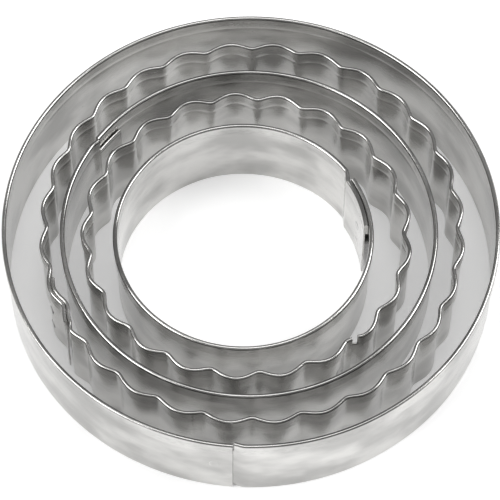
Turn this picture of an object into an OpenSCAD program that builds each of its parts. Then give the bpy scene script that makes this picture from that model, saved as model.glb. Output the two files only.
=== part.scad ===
/* [Strip] */
// Thickness of the metal strip
sheet_t = 0.3; // [0.2:0.05:0.5]
// Height of every ring, from the cutting edge to the top of the rim
band_h = 15; // [8:0.5:30]

/* [Folded rim] */
// Thickness of the folded rim of a plain ring
plain_hem_t = 0.75; // [0.6:0.05:1]
// Thickness of the folded rim of a fluted ring
fluted_hem_t = 0.6; // [0.5:0.05:0.9]
// Depth of the folded rim, measured down from its top
hem_depth = 2.8; // [1.5:0.1:5]

/* [Seams] */
// Clearance between the two lapped ends of a strip
lap_gap = 0.05; // [0.03:0.01:0.15]
// Length of the bend that tucks the inner end behind the outer end
joggle_len = 2; // [1.5:0.1:4]
// Open slit between the two rim ends of a tongue seam
rim_slit = 0.25; // [0.1:0.05:1]
// Diameter of a spot weld
weld_d = 1.6; // [1:0.1:2.4]
// How far a spot weld stands proud of the sheet
weld_proud = 0.03; // [0.01:0.01:0.1]
// Height of the lower spot weld above the cutting edge
weld_low_z = 2.8; // [1.5:0.1:4]
// Height of the upper spot weld above the cutting edge
weld_high_z = 7.6; // [5:0.1:20]

/* [Outer plain ring] */
// Outer diameter
outer_d = 80; // [78:0.5:120]
// Direction of the seam, in degrees from the front towards the right
outer_seam = -3.6; // [-180:0.1:180]
// Length of the lap along the strip
outer_lap = 6; // [4:0.5:12]

/* [Large fluted ring] */
// Outer diameter over the flutes
large_fluted_d = 69.5; // [66:0.5:70]
// Number of flutes
large_flutes = 28; // [20:1:40]
// Depth of a flute
large_flute_depth = 0.95; // [0.4:0.05:1.5]
// Direction of one flute's middle, in degrees from the front towards the right
large_flute_phase = 6.9; // [0:0.1:13]
// How much the ring's half width departs from round
large_fluted_oval = 0.6; // [0:0.1:1]
// Direction of the seam, in degrees from the front towards the right
large_fluted_seam = -59; // [-180:0.1:180]
// Length of the lap along the strip
large_fluted_lap = 8.8; // [5:0.1:12]
// Place of the ring's centre, from side to side
large_fluted_x = 0.2; // [-1:0.1:1]
// Place of the ring's centre, from front to back
large_fluted_y = -0.6; // [-1:0.1:1]

/* [Middle plain ring] */
// Outer diameter
middle_d = 60.6; // [57:0.1:61]
// Direction of the seam, in degrees from the front towards the right
middle_seam = -124; // [-180:0.1:180]
// Length of the lap along the strip
middle_lap = 5; // [4:0.5:10]
// Place of the ring's centre, from side to side
middle_x = -0.3; // [-1:0.1:1]
// Place of the ring's centre, from front to back
middle_y = -1; // [-1.5:0.1:0.5]

/* [Small fluted ring] */
// Outer diameter over the flutes
small_fluted_d = 53.2; // [50:0.1:54]
// Number of flutes
small_flutes = 21; // [16:1:30]
// Depth of a flute
small_flute_depth = 1.15; // [0.4:0.05:1.5]
// Direction of one flute's middle, in degrees from the front towards the right
small_flute_phase = 13.6; // [0:0.1:17]
// Direction of the seam, in degrees from the front towards the right
small_fluted_seam = 41; // [-180:0.1:180]
// Length of the lap along the strip
small_fluted_lap = 5; // [4:0.1:8]
// Open slit between the two rim ends
small_rim_slit = 1; // [0.2:0.1:1.5]
// Place of the ring's centre, from side to side
small_fluted_x = -0.7; // [-1.5:0.1:1]
// Place of the ring's centre, from front to back
small_fluted_y = -1.6; // [-2:0.1:0]

/* [Inner plain ring] */
// Outer diameter
inner_d = 41.8; // [30:0.1:44]
// Direction of the seam, in degrees from the front towards the right
inner_seam = 121; // [-180:0.1:180]
// Length of the lap along the strip
inner_lap = 9.4; // [5:0.1:12]
// Place of the ring's centre, from side to side
inner_x = -1.2; // [-2:0.1:1]
// Place of the ring's centre, from front to back
inner_y = -2; // [-3:0.1:0]

/* [Hidden] */
// Roundness of the crease between two flutes, as a share of a flute's depth
CREASE = 0.22;
// Points along one flute, and the step along a plain ring in degrees
FLUTE_POINTS = 8;
PLAIN_STEP = 3;
// Half the angle over which the direction of the strip is measured, in degrees
PROBE = 0.05;
$fn = 48;

// Angle that a length along a circle of diameter d covers
function arc_angle(len, d) = len / (PI * d) * 360;

// Eased step from 0 to 1
function ease(x) =
    let (t = min(max(x, 0), 1))
    t * t * (3 - 2 * t);

// How far the face lies in from the crest of a flute, 0 at the crest and 1 in the crease
function crease_share(a, flutes, phase) =
    let (wave = cos(flutes * (a - phase) / 2))
    1 - (sqrt(wave * wave + CREASE * CREASE) - CREASE) / (sqrt(1 + CREASE * CREASE) - CREASE);

// A ring is [diameter, seam, lap angle, tuck, joggle angle, flutes, flute depth, phase, oval]
function ring_spec(d, seam, lap, tuck, flutes = 0, depth = 0, phase = 0, oval = 0) =
    [d, seam, arc_angle(lap, d), tuck, arc_angle(joggle_len, d), flutes, depth, phase, oval];

// Radius of the ring's outer face in direction a, before one end is tucked in
function face_r(s, a) =
    s[0] / 2 + s[8] * cos(2 * a)
    - (s[5] > 0 ? s[6] * crease_share(a, s[5], s[7]) : 0);

function face_point(s, a) = face_r(s, a) * [sin(a), -cos(a)];

// Unit vector square to the outer face, pointing out of the ring
function face_normal(s, a) =
    let (t = face_point(s, a + PROBE) - face_point(s, a - PROBE))
    [t.y, -t.x] / norm(t);

// How far the strip is tucked in at strip angle a, which runs from the tucked end to the outer end
function tuck_in(s, a) = s[3] * (1 - ease((a - s[1]) / s[4]));

// Point of the strip at strip angle a, deep inside its outer face
function strip_point(s, a, deep) =
    face_point(s, a) - (tuck_in(s, a) + deep) * face_normal(s, a);

// Flat outline of the strip between two strip angles, from depth near to depth hem_t
function strip_outline(s, from, to, near, hem_t) =
    let (
        step = s[5] > 0 ? 360 / s[5] / FLUTE_POINTS : PLAIN_STEP,
        n = ceil((to - from) / step),
        angles = [for (i = [0:n]) from + (to - from) * i / n]
    )
    concat(
        [for (a = angles) strip_point(s, a, near)],
        [for (i = [n:-1:0]) strip_point(s, angles[i], hem_t)]
    );

module strip(s, from, to, near, hem_t, low, high) {
    translate([0, 0, low])
        linear_extrude(high - low)
            polygon(strip_outline(s, from, to, near, hem_t));
}

// Single sheet, level with the inside of the rim that is folded outwards
module wall(s, from, to, hem_t, high) {
    strip(s, from, to, hem_t - sheet_t, hem_t, 0, high);
}

module rim(s, from, to, hem_t) {
    strip(s, from, to, 0, hem_t, band_h - hem_depth, band_h);
}

// Both ends keep their folded rim, so the rims lie side by side along the lap
module full_lap_band(s, hem_t) {
    tucked_end = s[1] - s[2];
    outer_end = s[1] + 360;
    wall(s, tucked_end, outer_end, hem_t, band_h - hem_depth);
    rim(s, tucked_end, outer_end, hem_t);
}

// The tucked end is a plain tongue behind the wall, and the two rim ends meet at a slit
module tongue_band(s, hem_t, slit) {
    rim_start = s[1] + arc_angle(slit, s[0]);
    outer_end = s[1] + 360;
    wall(s, s[1] - s[2], rim_start, hem_t, band_h - hem_depth - lap_gap);
    wall(s, rim_start, outer_end, hem_t, band_h - hem_depth);
    rim(s, rim_start, outer_end, hem_t);
}

// Two spot welds through both layers of a lap, in direction a
module spot_welds(s, a, hem_t) {
    out = face_normal(s, a);
    start = strip_point(s, a, hem_t + weld_proud);
    for (z = [weld_low_z, weld_high_z])
        translate([start.x, start.y, z])
            rotate([90, 0, atan2(out.x, -out.y)])
                cylinder(d = weld_d, h = s[3] + sheet_t + 2 * weld_proud);
}

// Direction of the middle of the flute that lies nearest to angle a
function nearest_crest(a, flutes, phase) =
    phase + round((a - phase) * flutes / 360) * 360 / flutes;

outer_ring = ring_spec(outer_d, outer_seam, outer_lap, sheet_t + lap_gap);
large_fluted_ring = ring_spec(
    large_fluted_d, large_fluted_seam, large_fluted_lap, fluted_hem_t + lap_gap,
    large_flutes, large_flute_depth, large_flute_phase, large_fluted_oval
);
middle_ring = ring_spec(middle_d, middle_seam, middle_lap, sheet_t + lap_gap);
small_fluted_ring = ring_spec(
    small_fluted_d, small_fluted_seam, small_fluted_lap, sheet_t + lap_gap,
    small_flutes, small_flute_depth, small_flute_phase
);
inner_ring = ring_spec(inner_d, inner_seam, inner_lap, plain_hem_t + lap_gap);

module outer_plain_band() {
    color("silver")
        tongue_band(outer_ring, plain_hem_t, rim_slit);
}

module outer_seam_welds() {
    color("gray")
        spot_welds(outer_ring, outer_seam - outer_ring[2] / 2, plain_hem_t);
}

module large_fluted_band() {
    color("silver")
        translate([large_fluted_x, large_fluted_y])
            full_lap_band(large_fluted_ring, fluted_hem_t);
}

module large_fluted_seam_welds() {
    middle = large_fluted_seam - large_fluted_ring[2] / 2;
    color("gray")
        translate([large_fluted_x, large_fluted_y])
            spot_welds(
                large_fluted_ring, nearest_crest(middle, large_flutes, large_flute_phase), fluted_hem_t
            );
}

module middle_plain_band() {
    color("silver")
        translate([middle_x, middle_y])
            tongue_band(middle_ring, plain_hem_t, rim_slit);
}

module middle_seam_welds() {
    color("gray")
        translate([middle_x, middle_y])
            spot_welds(middle_ring, middle_seam - middle_ring[2] / 2, plain_hem_t);
}

module small_fluted_band() {
    color("silver")
        translate([small_fluted_x, small_fluted_y])
            tongue_band(small_fluted_ring, fluted_hem_t, small_rim_slit);
}

module small_fluted_seam_welds() {
    color("gray")
        translate([small_fluted_x, small_fluted_y])
            spot_welds(small_fluted_ring, small_fluted_seam - small_fluted_ring[2] / 2, fluted_hem_t);
}

module inner_plain_band() {
    color("silver")
        translate([inner_x, inner_y])
            full_lap_band(inner_ring, plain_hem_t);
}

module inner_seam_welds() {
    color("gray")
        translate([inner_x, inner_y])
            spot_welds(inner_ring, inner_seam - inner_ring[2] / 2, plain_hem_t);
}

outer_plain_band();
outer_seam_welds();
large_fluted_band();
large_fluted_seam_welds();
middle_plain_band();
middle_seam_welds();
small_fluted_band();
small_fluted_seam_welds();
inner_plain_band();
inner_seam_welds();
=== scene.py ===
"""A nested set of round biscuit cutters: plain and fluted sheet metal rings with folded rims."""
import logging
import math
from dataclasses import dataclass
from enum import Enum

import bpy
import numpy as np
from mathutils import Matrix


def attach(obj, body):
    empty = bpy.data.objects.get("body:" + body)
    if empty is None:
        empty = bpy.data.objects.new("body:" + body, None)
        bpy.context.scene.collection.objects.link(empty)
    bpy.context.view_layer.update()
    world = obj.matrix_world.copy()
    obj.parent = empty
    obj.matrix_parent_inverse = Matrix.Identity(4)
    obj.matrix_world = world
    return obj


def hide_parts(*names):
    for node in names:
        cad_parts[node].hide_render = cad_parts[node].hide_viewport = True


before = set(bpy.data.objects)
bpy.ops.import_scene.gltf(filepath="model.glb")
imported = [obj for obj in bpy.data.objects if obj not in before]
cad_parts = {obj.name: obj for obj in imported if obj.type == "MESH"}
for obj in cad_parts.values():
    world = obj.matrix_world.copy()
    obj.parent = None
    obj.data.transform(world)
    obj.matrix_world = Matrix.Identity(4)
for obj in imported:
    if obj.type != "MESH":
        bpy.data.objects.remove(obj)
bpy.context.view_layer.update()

MM = 0.001
PHOTO_PIXELS = 500
# A step too small to see, in millimetres or degrees
HAIR = 0.002
# Half the angle over which the direction of a face is measured, in degrees
PROBE = 0.05
# Roundness of the crease between two flutes, as a share of a flute's depth
CREASE_ROUND = 0.22
# Edges that bend by more degrees than this are shaded sharp
SHARP_EDGE = 40.0
log = logging.getLogger("biscuit_cutters")


class Seam(Enum):
    """How the two ends of a strip meet."""

    TONGUE = "the tucked end is a plain tongue under the rim"
    FULL_LAP = "both ends keep their rim, side by side"


def ease(x: np.ndarray) -> np.ndarray:
    """Eased step: 3t squared minus 2t cubed, with t the value held between 0 and 1."""
    t = np.clip(x, 0.0, 1.0)
    return t * t * (3.0 - 2.0 * t)


def row(*values: float) -> np.ndarray:
    """A short row of numbers as an array."""
    return np.array(values, dtype=float)


def placed(x: np.ndarray, y: np.ndarray, z: np.ndarray, place: np.ndarray) -> Matrix:
    """A placement from its three directions and its place.

    Args:
        x: Unit vector of the object's X axis.
        y: Unit vector of its Y axis.
        z: Unit vector of its Z axis.
        place: Its origin in metres.

    Returns:
        The matrix, with the four vectors as its columns.
    """
    columns = [[*x, 0.0], [*y, 0.0], [*z, 0.0], [*place, 1.0]]
    return Matrix(columns).transposed()


def grid_quads(rows: int, around: int) -> np.ndarray:
    """The faces of a grid whose rows are closed loops of points.

    Args:
        rows: Number of loops.
        around: Number of points in a loop.

    Returns:
        Rows of four point numbers.
    """
    i, j = np.meshgrid(np.arange(rows - 1), np.arange(around), indexing="ij")
    k = (j + 1) % around
    below, above = i * around, (i + 1) * around
    return np.stack([below + j, above + j, above + k, below + k], -1).reshape(-1, 4)


def end_faces(rows: int, around: int, base: int = 0) -> list[tuple[int, ...]]:
    """The two faces that close such a grid at its first and last loop.

    Args:
        rows: Number of loops.
        around: Number of points in a loop.
        base: Number of the grid's first point.

    Returns:
        Two loops of point numbers, both facing out of the grid.
    """
    first = tuple(range(base + around - 1, base - 1, -1))
    last = tuple(range(base + (rows - 1) * around, base + rows * around))
    return [first, last]


@dataclass(frozen=True)
class Strip:
    """Sizes that all the strips share, in millimetres.

    Attributes:
        thickness: Thickness of the sheet.
        height: Height of a ring.
        hem_depth: How far down the folded rim reaches.
        plain_hem: Thickness of a plain ring's folded rim.
        fluted_hem: Thickness of a fluted ring's folded rim.
        lap_gap: Clearance between the two lapped ends.
        joggle: Length of the bend that tucks one end behind the other.
        edge_round: Size of the small bevel on a cut edge.
        bead_step: How far the rim's bead stands out beyond the faces below it.
        crease: Depth of the faint line that the fold leaves on the plain face.
        fold_slit: Width of the slit between the fold and the wall.
        slit_depth: How far up that slit reaches.
        tongue_fold: How far down the thickened top of a tongue reaches.
        tongue_stations: Cross-sections along a tongue.
    """

    thickness: float = 0.3
    height: float = 15.0
    hem_depth: float = 2.8
    plain_hem: float = 0.75
    fluted_hem: float = 0.6
    lap_gap: float = 0.05
    joggle: float = 2.0
    edge_round: float = 0.04
    bead_step: float = 0.05
    crease: float = 0.025
    fold_slit: float = 0.07
    slit_depth: float = 0.35
    tongue_fold: float = 1.0
    tongue_stations: int = 40

    def profile(self, hem: float, top: float, depth: float, slit: float, crease: float) -> np.ndarray:
        """The strip's cross-section as a closed loop, measured from the face away from the fold.

        From the cutting edge up the plain face, over the rim in a half circle, down the fold, round the
        fold's cut edge and its slit, and down the wall's other face.

        Args:
            hem: Thickness at the rim.
            top: Height of the rim's top.
            depth: How far down the fold reaches.
            slit: Width of the slit between the fold and the wall.
            crease: Depth of the faint line that the fold leaves on the plain face.

        Returns:
            Rows of depth behind the plain face and height, in millimetres.
        """
        t, e = self.thickness, self.edge_round
        r = hem / 2.0
        fold, bead_foot = top - depth, top - r
        below_crease = np.linspace(0.12, 0.92, 5) * fold
        crease_rows, crease_shares = row(-0.18, 0.0, 0.18), row(0.3, 1.0, 0.0)
        above_crease = np.linspace(fold + 0.4 * depth, bead_foot - 0.12, 3)
        plain_z = np.concatenate([
            row(e), below_crease, fold + crease_rows, above_crease, row(bead_foot - 0.02),
        ])
        sunk = np.concatenate([
            np.zeros(1 + len(below_crease)), crease * crease_shares, np.zeros(len(above_crease) + 1),
        ])
        plain = np.stack([self.bead_step + sunk, plain_z], 1)
        around = np.linspace(math.pi, 0.0, 15)
        bead = np.stack([r + r * np.cos(around), bead_foot + r * np.sin(around)], 1)
        fold_face, slit_top = hem - self.bead_step, fold + self.slit_depth
        folded = np.array([
            [fold_face, bead_foot - 0.03], [fold_face, top - 0.55 * depth], [fold_face, fold + e],
            [fold_face - e, fold], [t + slit + e, fold], [t + slit, fold + e],
            [t + slit, slit_top], [t, slit_top], [t, fold - 0.02],
        ])
        wall_z = np.linspace(0.92, 0.08, 6) * fold
        wall = np.stack([np.full_like(wall_z, t), wall_z], 1)
        edge = np.array([[t, e], [t - e, 0.0], [self.bead_step + e, 0.0]])
        return np.concatenate([plain, bead, folded, wall, edge])


STRIP = Strip()


@dataclass(frozen=True)
class SpotWeld:
    """A spot weld's mark: a shallow dimple with a raised lip, in millimetres.

    Attributes:
        radii: Distances from the weld's middle.
        lifts: How far the mark stands proud of the sheet at each distance.
        heights: Heights of a seam's welds above the cutting edge.
        sides: Points round the mark.
    """

    radii: tuple[float, ...] = (0.02, 0.35, 0.55, 0.68, 0.76, 0.8)
    lifts: tuple[float, ...] = (-0.02, -0.015, 0.01, 0.025, 0.02, -0.02)
    heights: tuple[float, ...] = (2.8, 7.6)
    sides: int = 32


WELD = SpotWeld()


@dataclass(frozen=True)
class SheetFinish:
    """Bright rolled sheet metal, with faint rolling marks, cloudy patches and specks."""

    name: str
    color: tuple[float, float, float] = (0.55, 0.545, 0.532)
    roughness: float = 0.15
    grain: float = 1.0
    specks: float = 1.0

    def material(self) -> bpy.types.Material:
        """Builds the material.

        Returns:
            The new material, whose marks follow the strip's own map.
        """
        mat = bpy.data.materials.new(self.name)
        mat.use_nodes = True
        nodes, links = mat.node_tree.nodes, mat.node_tree.links
        shader = nodes["Principled BSDF"]
        shader.inputs["Metallic"].default_value = 1.0
        strip_map = nodes.new("ShaderNodeUVMap")
        strip_map.uv_map = "strip"
        marks = nodes.new("ShaderNodeGroup")
        marks.node_tree = rolled_sheet_group()
        marks.inputs["Color"].default_value = (*self.color, 1.0)
        marks.inputs["Roughness"].default_value = self.roughness
        marks.inputs["Grain"].default_value = self.grain
        marks.inputs["Specks"].default_value = self.specks
        bump = nodes.new("ShaderNodeBump")
        bump.inputs["Strength"].default_value = 0.25
        bump.inputs["Distance"].default_value = 0.02 * MM
        links.new(strip_map.outputs["UV"], marks.inputs["Strip"])
        links.new(marks.outputs["Color"], shader.inputs["Base Color"])
        links.new(marks.outputs["Roughness"], shader.inputs["Roughness"])
        links.new(marks.outputs["Height"], bump.inputs["Height"])
        links.new(bump.outputs["Normal"], shader.inputs["Normal"])
        return mat


class GroupBuilder:
    """Small helper that adds and joins the nodes of one shader group."""

    def __init__(self, name: str, inputs: dict[str, tuple[str, object]], outputs: dict[str, str]) -> None:
        """Makes the group and its sockets.

        Args:
            name: The group's name.
            inputs: Socket name to its type and default value, or None for no default.
            outputs: Socket name to its type.
        """
        self.tree = bpy.data.node_groups.new(name, "ShaderNodeTree")
        for socket, (kind, default) in inputs.items():
            item = self.tree.interface.new_socket(socket, in_out="INPUT", socket_type=kind)
            if default is not None:
                item.default_value = default
        for socket, kind in outputs.items():
            self.tree.interface.new_socket(socket, in_out="OUTPUT", socket_type=kind)
        self.source = self.tree.nodes.new("NodeGroupInput").outputs
        self.sink = self.tree.nodes.new("NodeGroupOutput").inputs

    def link(self, source: object, target: bpy.types.NodeSocket) -> None:
        """Joins a socket to an input, or sets the input to a plain value.

        Args:
            source: The socket or the value.
            target: The input.
        """
        if isinstance(source, bpy.types.NodeSocket):
            self.tree.links.new(source, target)
        else:
            target.default_value = source

    def math(self, operation: str, a: object, b: object = 0.0) -> bpy.types.NodeSocket:
        """Adds a Math node.

        Args:
            operation: The node's operation.
            a: First value or socket.
            b: Second value or socket.

        Returns:
            The node's output.
        """
        node = self.tree.nodes.new("ShaderNodeMath")
        node.operation = operation
        self.link(a, node.inputs[0])
        self.link(b, node.inputs[1])
        return node.outputs[0]

    def ramp(
        self, value: object, low: float, high: float, to_low: float, to_high: float
    ) -> bpy.types.NodeSocket:
        """Adds a Map Range node that eases a value from one range to another.

        Args:
            value: The value or socket.
            low: Value that gives to_low.
            high: Value that gives to_high.
            to_low: Result at the low end.
            to_high: Result at the high end.

        Returns:
            The node's output.
        """
        node = self.tree.nodes.new("ShaderNodeMapRange")
        node.interpolation_type = "SMOOTHSTEP"
        self.link(value, node.inputs["Value"])
        for socket, number in zip(("From Min", "From Max", "To Min", "To Max"), (low, high, to_low, to_high)):
            node.inputs[socket].default_value = number
        return node.outputs["Result"]

    def noise(self, vector: object, scale: tuple[float, float, float], detail: float) -> bpy.types.NodeSocket:
        """Adds noise stretched by a scale for each direction.

        Args:
            vector: The coordinates' socket.
            scale: Cycles per metre along, across and through the strip.
            detail: Octaves of finer noise.

        Returns:
            The noise value, about 0.5 on average.
        """
        place = self.tree.nodes.new("ShaderNodeMapping")
        place.inputs["Scale"].default_value = scale
        node = self.tree.nodes.new("ShaderNodeTexNoise")
        node.inputs["Scale"].default_value = 1.0
        node.inputs["Detail"].default_value = detail
        self.link(vector, place.inputs["Vector"])
        self.link(place.outputs["Vector"], node.inputs["Vector"])
        return node.outputs["Fac"]


def rolled_sheet_group() -> bpy.types.NodeTree:
    """The marks of bright rolled sheet: grain along the strip, clouds, specks and a rubbed rim band.

    Returns:
        The node group, built once and shared by the materials.
    """
    name = "rolled_sheet"
    if name in bpy.data.node_groups:
        return bpy.data.node_groups[name]
    g = GroupBuilder(
        name,
        {
            "Strip": ("NodeSocketVector", None),
            "Color": ("NodeSocketColor", (0.7, 0.7, 0.69, 1.0)),
            "Roughness": ("NodeSocketFloat", 0.2),
            "Grain": ("NodeSocketFloat", 1.0),
            "Specks": ("NodeSocketFloat", 1.0),
        },
        {"Color": "NodeSocketColor", "Roughness": "NodeSocketFloat", "Height": "NodeSocketFloat"},
    )
    strip = g.source["Strip"]
    grain = g.noise(strip, (260.0, 9000.0, 1.0), 4.0)
    clouds = g.noise(strip, (70.0, 120.0, 1.0), 3.0)
    specks = g.ramp(g.noise(strip, (1500.0, 1900.0, 1.0), 1.0), 0.76, 0.82, 0.0, 1.0)
    split = g.tree.nodes.new("ShaderNodeSeparateXYZ")
    g.link(strip, split.inputs[0])
    fold = STRIP.height - STRIP.hem_depth
    band_start = (fold + row(0.2, 0.7)) * MM
    band_end = (STRIP.height - row(1.2, 0.6)) * MM
    band = g.math(
        "MULTIPLY",
        g.ramp(split.outputs["Y"], *band_start, 0.0, 1.0),
        g.ramp(split.outputs["Y"], *band_end, 1.0, 0.0),
    )
    rubbed = g.math("MULTIPLY", band, g.ramp(g.noise(strip, (900.0, 3500.0, 1.0), 3.0), 0.42, 0.62, 0.0, 1.0))
    dark = g.math("ADD", g.math("MULTIPLY", specks, g.source["Specks"]), g.math("MULTIPLY", rubbed, 0.35))
    tone = g.math("SUBTRACT", g.ramp(clouds, 0.36, 0.64, 0.72, 1.16), g.math("MULTIPLY", dark, 0.3))
    shade = g.tree.nodes.new("ShaderNodeVectorMath")
    shade.operation = "SCALE"
    g.link(g.source["Color"], shade.inputs[0])
    g.link(tone, shade.inputs["Scale"])
    g.link(shade.outputs[0], g.sink["Color"])
    rough = g.math("MULTIPLY", g.source["Roughness"], g.ramp(clouds, 0.35, 0.65, 0.8, 1.3))
    rough = g.math("ADD", rough, g.math("MULTIPLY", g.math("MULTIPLY", grain, g.source["Grain"]), 0.05))
    g.link(g.math("ADD", rough, g.math("MULTIPLY", dark, 0.15)), g.sink["Roughness"])
    height = g.math("SUBTRACT", g.math("MULTIPLY", grain, g.source["Grain"]), dark)
    g.link(height, g.sink["Height"])
    return g.tree


@dataclass(frozen=True)
class RingCutter:
    """One cutter: a strip rolled to a ring, its ends lapped and spot welded.

    Sizes are in millimetres, directions in degrees from the front towards the right.

    Attributes:
        body: Body that carries the cutter.
        band_node: Node that the band stands for.
        weld_node: Node that the weld marks stand for.
        seam: How the two ends meet.
        diameter: Diameter over the folded rim.
        hem: Thickness of the folded rim.
        seam_deg: Direction of the outer end.
        lap: Length of the lap.
        centre: Place of the ring's centre.
        slit: Open slit between the two rim ends of a tongue seam.
        flutes: Number of flutes, none on a plain ring.
        flute_depth: Depth of a flute.
        phase: Direction of one flute's middle.
        oval: How much the half width departs from round.
        wave: Waviness of the sheet.
        stations: Cross-sections round the ring.
    """

    body: str
    band_node: str
    weld_node: str
    seam: Seam
    diameter: float
    hem: float
    seam_deg: float
    lap: float
    centre: tuple[float, float] = (0.0, 0.0)
    slit: float = 0.25
    flutes: int = 0
    flute_depth: float = 0.0
    phase: float = 0.0
    oval: float = 0.0
    wave: float = 0.03
    stations: int = 720

    def degrees(self, length: float) -> float:
        """Angle that a length along the ring covers."""
        return length / (math.pi * self.diameter) * 360.0

    @property
    def tuck(self) -> float:
        """How far the tucked end lies inside the outer end."""
        inside = STRIP.thickness if self.seam is Seam.TONGUE else self.hem
        return inside + STRIP.lap_gap

    def face_point(self, a: np.ndarray) -> np.ndarray:
        """The round outer face: a circle, a slight oval and the flutes.

        A flute is an arch: the depth times one minus the root of cosine squared plus a small square, which
        rounds the crease between two flutes.

        Args:
            a: Directions in degrees from the front towards the right.

        Returns:
            Rows of x and y from the ring's centre.
        """
        r = self.diameter / 2.0 + self.oval * np.cos(np.radians(2.0 * a))
        if self.flutes:
            soft = CREASE_ROUND
            wave = np.cos(np.radians(self.flutes * (a - self.phase) / 2.0))
            arch = np.sqrt(wave**2 + soft**2) - soft
            r = r - self.flute_depth * (1.0 - arch / (math.sqrt(1.0 + soft**2) - soft))
        turn = np.radians(a)
        return np.stack([r * np.sin(turn), -r * np.cos(turn)], -1)

    def face_normal(self, a: np.ndarray) -> np.ndarray:
        """Unit vectors square to the outer face, from the difference of two near points.

        Args:
            a: Directions in degrees from the front towards the right.

        Returns:
            Rows of x and y, pointing out of the ring.
        """
        t = self.face_point(a + PROBE) - self.face_point(a - PROBE)
        t = t / np.linalg.norm(t, axis=-1, keepdims=True)
        return np.stack([t[..., 1], -t[..., 0]], -1)

    def tuck_in(self, a: np.ndarray) -> np.ndarray:
        """How far the strip lies in at strip angle a: the full tuck, then an eased bend out."""
        return self.tuck * (1.0 - ease((a - self.seam_deg) / self.degrees(STRIP.joggle)))

    def ripple(self, a: np.ndarray, z: np.ndarray) -> np.ndarray:
        """Slight waviness of the sheet: a few sines round the ring, fading towards the stiff rim.

        Args:
            a: Strip angles in degrees.
            z: Heights in millimetres.

        Returns:
            How far the sheet lies in, in millimetres.
        """
        turn, shift = np.radians(a), self.diameter
        long_wave = np.sin(3.0 * turn + shift)
        middle_wave = 0.6 * np.sin(7.0 * turn + 2.1 * shift)
        short_wave = 0.35 * np.sin(13.0 * turn + 0.7 * shift)
        fade = 1.0 - 0.8 * z / STRIP.height
        return self.wave * (long_wave + middle_wave + short_wave) * fade

    def sections(self) -> tuple[np.ndarray, np.ndarray]:
        """The strip's stations and the cross-section at each, with the rim folded outwards.

        Returns:
            Strip angles, and for each a closed loop of depths inside the outermost face and heights.
        """
        s = STRIP
        start, end = self.seam_deg - self.degrees(self.lap), self.seam_deg + 360.0
        rim = s.profile(self.hem, s.height, s.hem_depth, s.fold_slit, s.crease)
        rim[:, 0] = self.hem - rim[:, 0]
        if self.seam is Seam.FULL_LAP:
            angles = np.linspace(start, end, self.stations)
            return angles, np.broadcast_to(rim, (len(angles), *rim.shape))
        top = s.height - s.hem_depth - s.lap_gap
        tongue = s.profile(s.thickness + s.bead_step, top, s.tongue_fold, HAIR, 0.0)
        tongue[:, 0] += self.hem - s.thickness
        slit_end = self.seam_deg + self.degrees(self.slit)
        tongue_angles = np.linspace(start, slit_end, s.tongue_stations)
        rim_angles = np.linspace(slit_end + HAIR, end, self.stations)
        loops = np.concatenate([
            np.broadcast_to(tongue, (len(tongue_angles), *tongue.shape)),
            np.broadcast_to(rim, (len(rim_angles), *rim.shape)),
        ])
        return np.concatenate([tongue_angles, rim_angles]), loops

    def band(self) -> bpy.types.Object:
        """The band: the cross-section carried along the strip, closed by a flat face at each end.

        Returns:
            The finished mesh object, which stands for the band's node.
        """
        angles, loops = self.sections()
        a, z = angles[:, None], loops[:, :, 1]
        deep = loops[:, :, 0] + self.tuck_in(a) + self.ripple(a, z)
        flat = self.face_point(a) - deep[..., None] * self.face_normal(a)
        points = np.concatenate([flat + np.array(self.centre), z[..., None]], 2) * MM
        along = np.broadcast_to(np.radians(a) * self.diameter / 2.0, z.shape)
        strip_map = np.stack([along, z], -1) * MM
        mesh = mesh_from(
            self.band_node + "_sheet", points.reshape(-1, 3), grid_quads(*z.shape), end_faces(*z.shape),
            strip_map.reshape(-1, 2),
        )
        return finish_piece(mesh, self.body, self.band_node)

    def welds(self) -> bpy.types.Object:
        """The spot welds: for each a closed surface of revolution through both layers of the lap.

        Returns:
            The finished mesh object, which stands for the weld node.
        """
        a = np.array(self.weld_direction())
        out = np.append(self.face_normal(a), 0.0)
        face = np.append(self.face_point(a) + np.array(self.centre), 0.0)
        inner_face = self.hem + self.tuck - (STRIP.bead_step if self.seam is Seam.FULL_LAP else 0.0)
        radius, lift = row(*WELD.radii), row(*WELD.lifts)
        r = np.concatenate([radius, radius[::-1]])
        w = np.concatenate([lift - (self.hem - STRIP.thickness), -inner_face - lift[::-1]])
        turn = np.linspace(0.0, 2.0 * math.pi, WELD.sides, endpoint=False)
        up = row(0.0, 0.0, 1.0)
        circle = np.cos(turn)[:, None] * np.cross(out, up) + np.sin(turn)[:, None] * up
        loops = face + w[:, None, None] * out + r[:, None, None] * circle
        shape = loops.shape[:2]
        points, faces, caps = [], [], []
        for number, height in enumerate(WELD.heights):
            base = number * shape[0] * shape[1]
            points.append(loops.reshape(-1, 3) + height * up)
            faces.append(grid_quads(*shape) + base)
            caps += end_faces(*shape, base)
        points = np.concatenate(points) * MM
        strip_map = np.stack([points[:, 0] + points[:, 1], points[:, 2]], -1)
        mesh = mesh_from(self.weld_node + "_marks", points, np.concatenate(faces), caps, strip_map)
        return finish_piece(mesh, self.body, self.weld_node)

    def weld_direction(self) -> float:
        """Direction of the welds: the middle of the lap, or the flute nearest to it on a full lap."""
        middle = self.seam_deg - self.degrees(self.lap) / 2.0
        if self.flutes and self.seam is Seam.FULL_LAP:
            pitch = 360.0 / self.flutes
            return self.phase + round((middle - self.phase) / pitch) * pitch
        return middle


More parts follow.
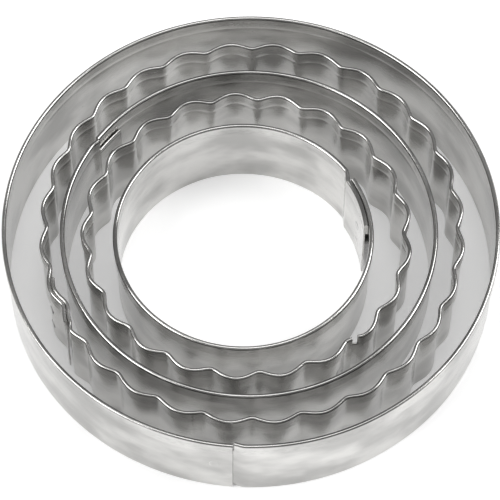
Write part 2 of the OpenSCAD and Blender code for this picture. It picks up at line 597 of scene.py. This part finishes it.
def mesh_from(
    name: str, points: np.ndarray, quads: np.ndarray, ends: list[tuple[int, ...]], strip_map: np.ndarray
) -> bpy.types.Mesh:
    """Puts a grid and its end faces into a mesh, smooth but for its sharp edges.

    Args:
        name: The mesh's name.
        points: Rows of x, y and z in metres.
        quads: Rows of four point numbers.
        ends: End faces, each a loop of point numbers.
        strip_map: For each point its place along and across the strip, in metres.

    Returns:
        The mesh, with its faces outwards and the map named strip.
    """
    mesh = bpy.data.meshes.new(name)
    mesh.from_pydata(points.tolist(), [], quads.tolist() + ends)
    mesh.update()
    corners = np.empty(len(mesh.loops), dtype=np.int32)
    mesh.loops.foreach_get("vertex_index", corners)
    layer = mesh.uv_layers.new(name="strip")
    layer.data.foreach_set("uv", strip_map[corners].astype(np.float32).ravel())
    if signed_volume(points, quads) < 0.0:
        mesh.flip_normals()
    mesh.shade_smooth()
    mesh.set_sharp_from_angle(angle=math.radians(SHARP_EDGE))
    mesh.validate()
    return mesh


def signed_volume(points: np.ndarray, quads: np.ndarray) -> float:
    """Volume inside the quads: the sum over their triangles of the corners' triple product, over six.

    Args:
        points: Rows of x, y and z.
        quads: Rows of four point numbers.

    Returns:
        The volume, negative where the faces point inwards.
    """
    a, b, c, d = (points[quads[:, i]] for i in range(4))
    triple = np.einsum("ij,ij->i", a, np.cross(b, c)) + np.einsum("ij,ij->i", a, np.cross(c, d))
    return float(triple.sum() / 6.0)


def finish_piece(mesh: bpy.types.Mesh, body: str, node: str) -> bpy.types.Object:
    """Adds a mesh to the scene and says what it rides on and what it replaces.

    Args:
        mesh: The finished mesh.
        body: Body that carries the piece.
        node: The node that the piece stands for.

    Returns:
        The object.
    """
    piece = bpy.data.objects.new(mesh.name, mesh)
    bpy.context.scene.collection.objects.link(piece)
    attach(piece, body)
    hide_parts(node)
    return piece


@dataclass(frozen=True)
class Studio:
    """White floor, soft light and the camera at the photograph's angle.

    Attributes:
        focal_pixels: Focal length in pixels of the photograph.
        distance: From the camera to its target, in millimetres.
        elevation: Of the camera above the floor, in degrees.
        roll: Of the camera about its line of sight, in degrees.
        target: Place on the floor that the camera looks at, in millimetres.
        floor_half: Half the floor's width, in metres.
        floor_white: The floor's colour, the same in all three channels.
        floor_lift: What the floor adds where the camera or a mirror sees it.
        surround: Brightness of the surround.
    """

    focal_pixels: float = 3136.0
    distance: float = 517.2
    elevation: float = 60.4
    roll: float = 0.58
    target: tuple[float, float] = (-0.11, 3.58)
    floor_half: float = 1.5
    floor_white: float = 0.9
    floor_lift: float = 0.35
    surround: float = 0.25

    def camera(self) -> None:
        """Sets a long lens that looks at the target from the front and above, with a slight roll."""
        e, tilt = math.radians(self.elevation), math.radians(self.roll)
        ahead = row(0.0, math.cos(e), -math.sin(e))
        right = row(1.0, 0.0, 0.0)
        up = np.cross(right, ahead)
        cam_x = math.cos(tilt) * right + math.sin(tilt) * up
        cam_y = -math.sin(tilt) * right + math.cos(tilt) * up
        place = row(*self.target, 0.0) - self.distance * ahead
        data = bpy.data.cameras.new("camera")
        data.sensor_width = 36.0
        data.lens = self.focal_pixels / PHOTO_PIXELS * data.sensor_width
        data.clip_start = 0.01
        camera = bpy.data.objects.new("camera", data)
        camera.matrix_world = placed(cam_x, cam_y, -ahead, place * MM)
        bpy.context.scene.collection.objects.link(camera)
        bpy.context.scene.camera = camera

    def floor(self) -> None:
        """A wide white floor that keeps the soft shadows and reads white to camera and mirror rays."""
        half = self.floor_half
        corners = [(-half, -half, 0.0), (half, -half, 0.0), (half, half, 0.0), (-half, half, 0.0)]
        mesh = bpy.data.meshes.new("floor")
        mesh.from_pydata(corners, [], [(0, 1, 2, 3)])
        mat = bpy.data.materials.new("white_floor")
        mat.use_nodes = True
        nodes, links = mat.node_tree.nodes, mat.node_tree.links
        shader = nodes["Principled BSDF"]
        shader.inputs["Base Color"].default_value = (*[self.floor_white] * 3, 1.0)
        shader.inputs["Roughness"].default_value = 0.9
        shader.inputs["Specular IOR Level"].default_value = 0.1
        path = nodes.new("ShaderNodeLightPath")
        seen = path.outputs["Is Camera Ray"]
        for ray in ("Is Glossy Ray", "Is Transmission Ray"):
            either = nodes.new("ShaderNodeMath")
            either.operation = "ADD"
            links.new(seen, either.inputs[0])
            links.new(path.outputs[ray], either.inputs[1])
            seen = either.outputs[0]
        lift = nodes.new("ShaderNodeMath")
        lift.operation = "MULTIPLY"
        lift.inputs[1].default_value = self.floor_lift
        links.new(seen, lift.inputs[0])
        links.new(lift.outputs[0], shader.inputs["Emission Strength"])
        shader.inputs["Emission Color"].default_value = (1.0, 1.0, 1.0, 1.0)
        mesh.materials.append(mat)
        floor = bpy.data.objects.new("floor", mesh)
        bpy.context.scene.collection.objects.link(floor)

    def lamp(self, name: str, place: tuple[float, float, float], size: float, power: float) -> None:
        """A square soft light that faces the object.

        Args:
            name: The lamp's name.
            place: Its place in metres.
            size: Its width in metres.
            power: Its power in watts.
        """
        data = bpy.data.lights.new(name, "AREA")
        data.size = size
        data.energy = power
        lamp = bpy.data.objects.new(name, data)
        back = row(*place) / np.linalg.norm(row(*place))
        side = np.cross(row(0.0, 1.0, 0.0), back)
        side = side / np.linalg.norm(side)
        lamp.matrix_world = placed(side, np.cross(back, side), back, row(*place))
        bpy.context.scene.collection.objects.link(lamp)

    def light(self) -> None:
        """A soft lamp overhead, one at each side and a dim surround."""
        self.lamp("softbox_above", (0.05, 0.1, 1.2), 0.6, 2.5)
        self.lamp("softbox_left", (-0.8, -0.3, 0.8), 0.7, 8.0)
        self.lamp("softbox_right", (0.8, 0.2, 0.8), 0.6, 6.5)
        world = bpy.data.worlds.new("surround")
        world.use_nodes = True
        world.node_tree.nodes["Background"].inputs["Color"].default_value = (*[self.surround] * 3, 1.0)
        bpy.context.scene.world = world
        bpy.context.scene.view_settings.view_transform = "Standard"


def cutters() -> list[RingCutter]:
    """The five cutters, from the outside in.

    Returns:
        The ring cutters with their sizes.
    """
    return [
        RingCutter(
            "outer_ring", "outer_plain_band", "outer_seam_welds", Seam.TONGUE,
            diameter=80.0, hem=STRIP.plain_hem, seam_deg=-3.6, lap=6.0,
        ),
        RingCutter(
            "large_fluted_ring", "large_fluted_band", "large_fluted_seam_welds", Seam.FULL_LAP,
            diameter=69.5, hem=STRIP.fluted_hem, seam_deg=-59.0, lap=8.8, centre=(0.2, -0.6),
            flutes=28, flute_depth=0.95, phase=6.9, oval=0.6, wave=0.01, stations=1000,
        ),
        RingCutter(
            "middle_ring", "middle_plain_band", "middle_seam_welds", Seam.TONGUE,
            diameter=60.6, hem=STRIP.plain_hem, seam_deg=-124.0, lap=5.0, centre=(-0.3, -1.0),
        ),
        RingCutter(
            "small_fluted_ring", "small_fluted_band", "small_fluted_seam_welds", Seam.TONGUE,
            diameter=53.2, hem=STRIP.fluted_hem, seam_deg=41.0, lap=5.0, centre=(-0.7, -1.6), slit=1.0,
            flutes=21, flute_depth=1.15, phase=13.6, wave=0.01, stations=800,
        ),
        RingCutter(
            "inner_ring", "inner_plain_band", "inner_seam_welds", Seam.FULL_LAP,
            diameter=41.8, hem=STRIP.plain_hem, seam_deg=121.0, lap=9.4, centre=(-1.2, -2.0),
        ),
    ]


def main() -> None:
    """Builds the stage, then each cutter in turn."""
    studio = Studio()
    studio.camera()
    studio.floor()
    studio.light()
    sheet = SheetFinish("bright_sheet").material()
    weld = SheetFinish("weld_mark", color=(0.62, 0.62, 0.61), roughness=0.3, grain=0.3).material()
    for cutter in cutters():
        band = cutter.band()
        band.data.materials.append(sheet)
        log.info("%s: %d faces on %s", band.name, len(band.data.polygons), cutter.body)
        marks = cutter.welds()
        marks.data.materials.append(weld)
        log.info("%s: %d faces on %s", marks.name, len(marks.data.polygons), cutter.body)


if __name__ == "__main__":
    logging.basicConfig(level=logging.INFO, format="%(message)s")
    main()
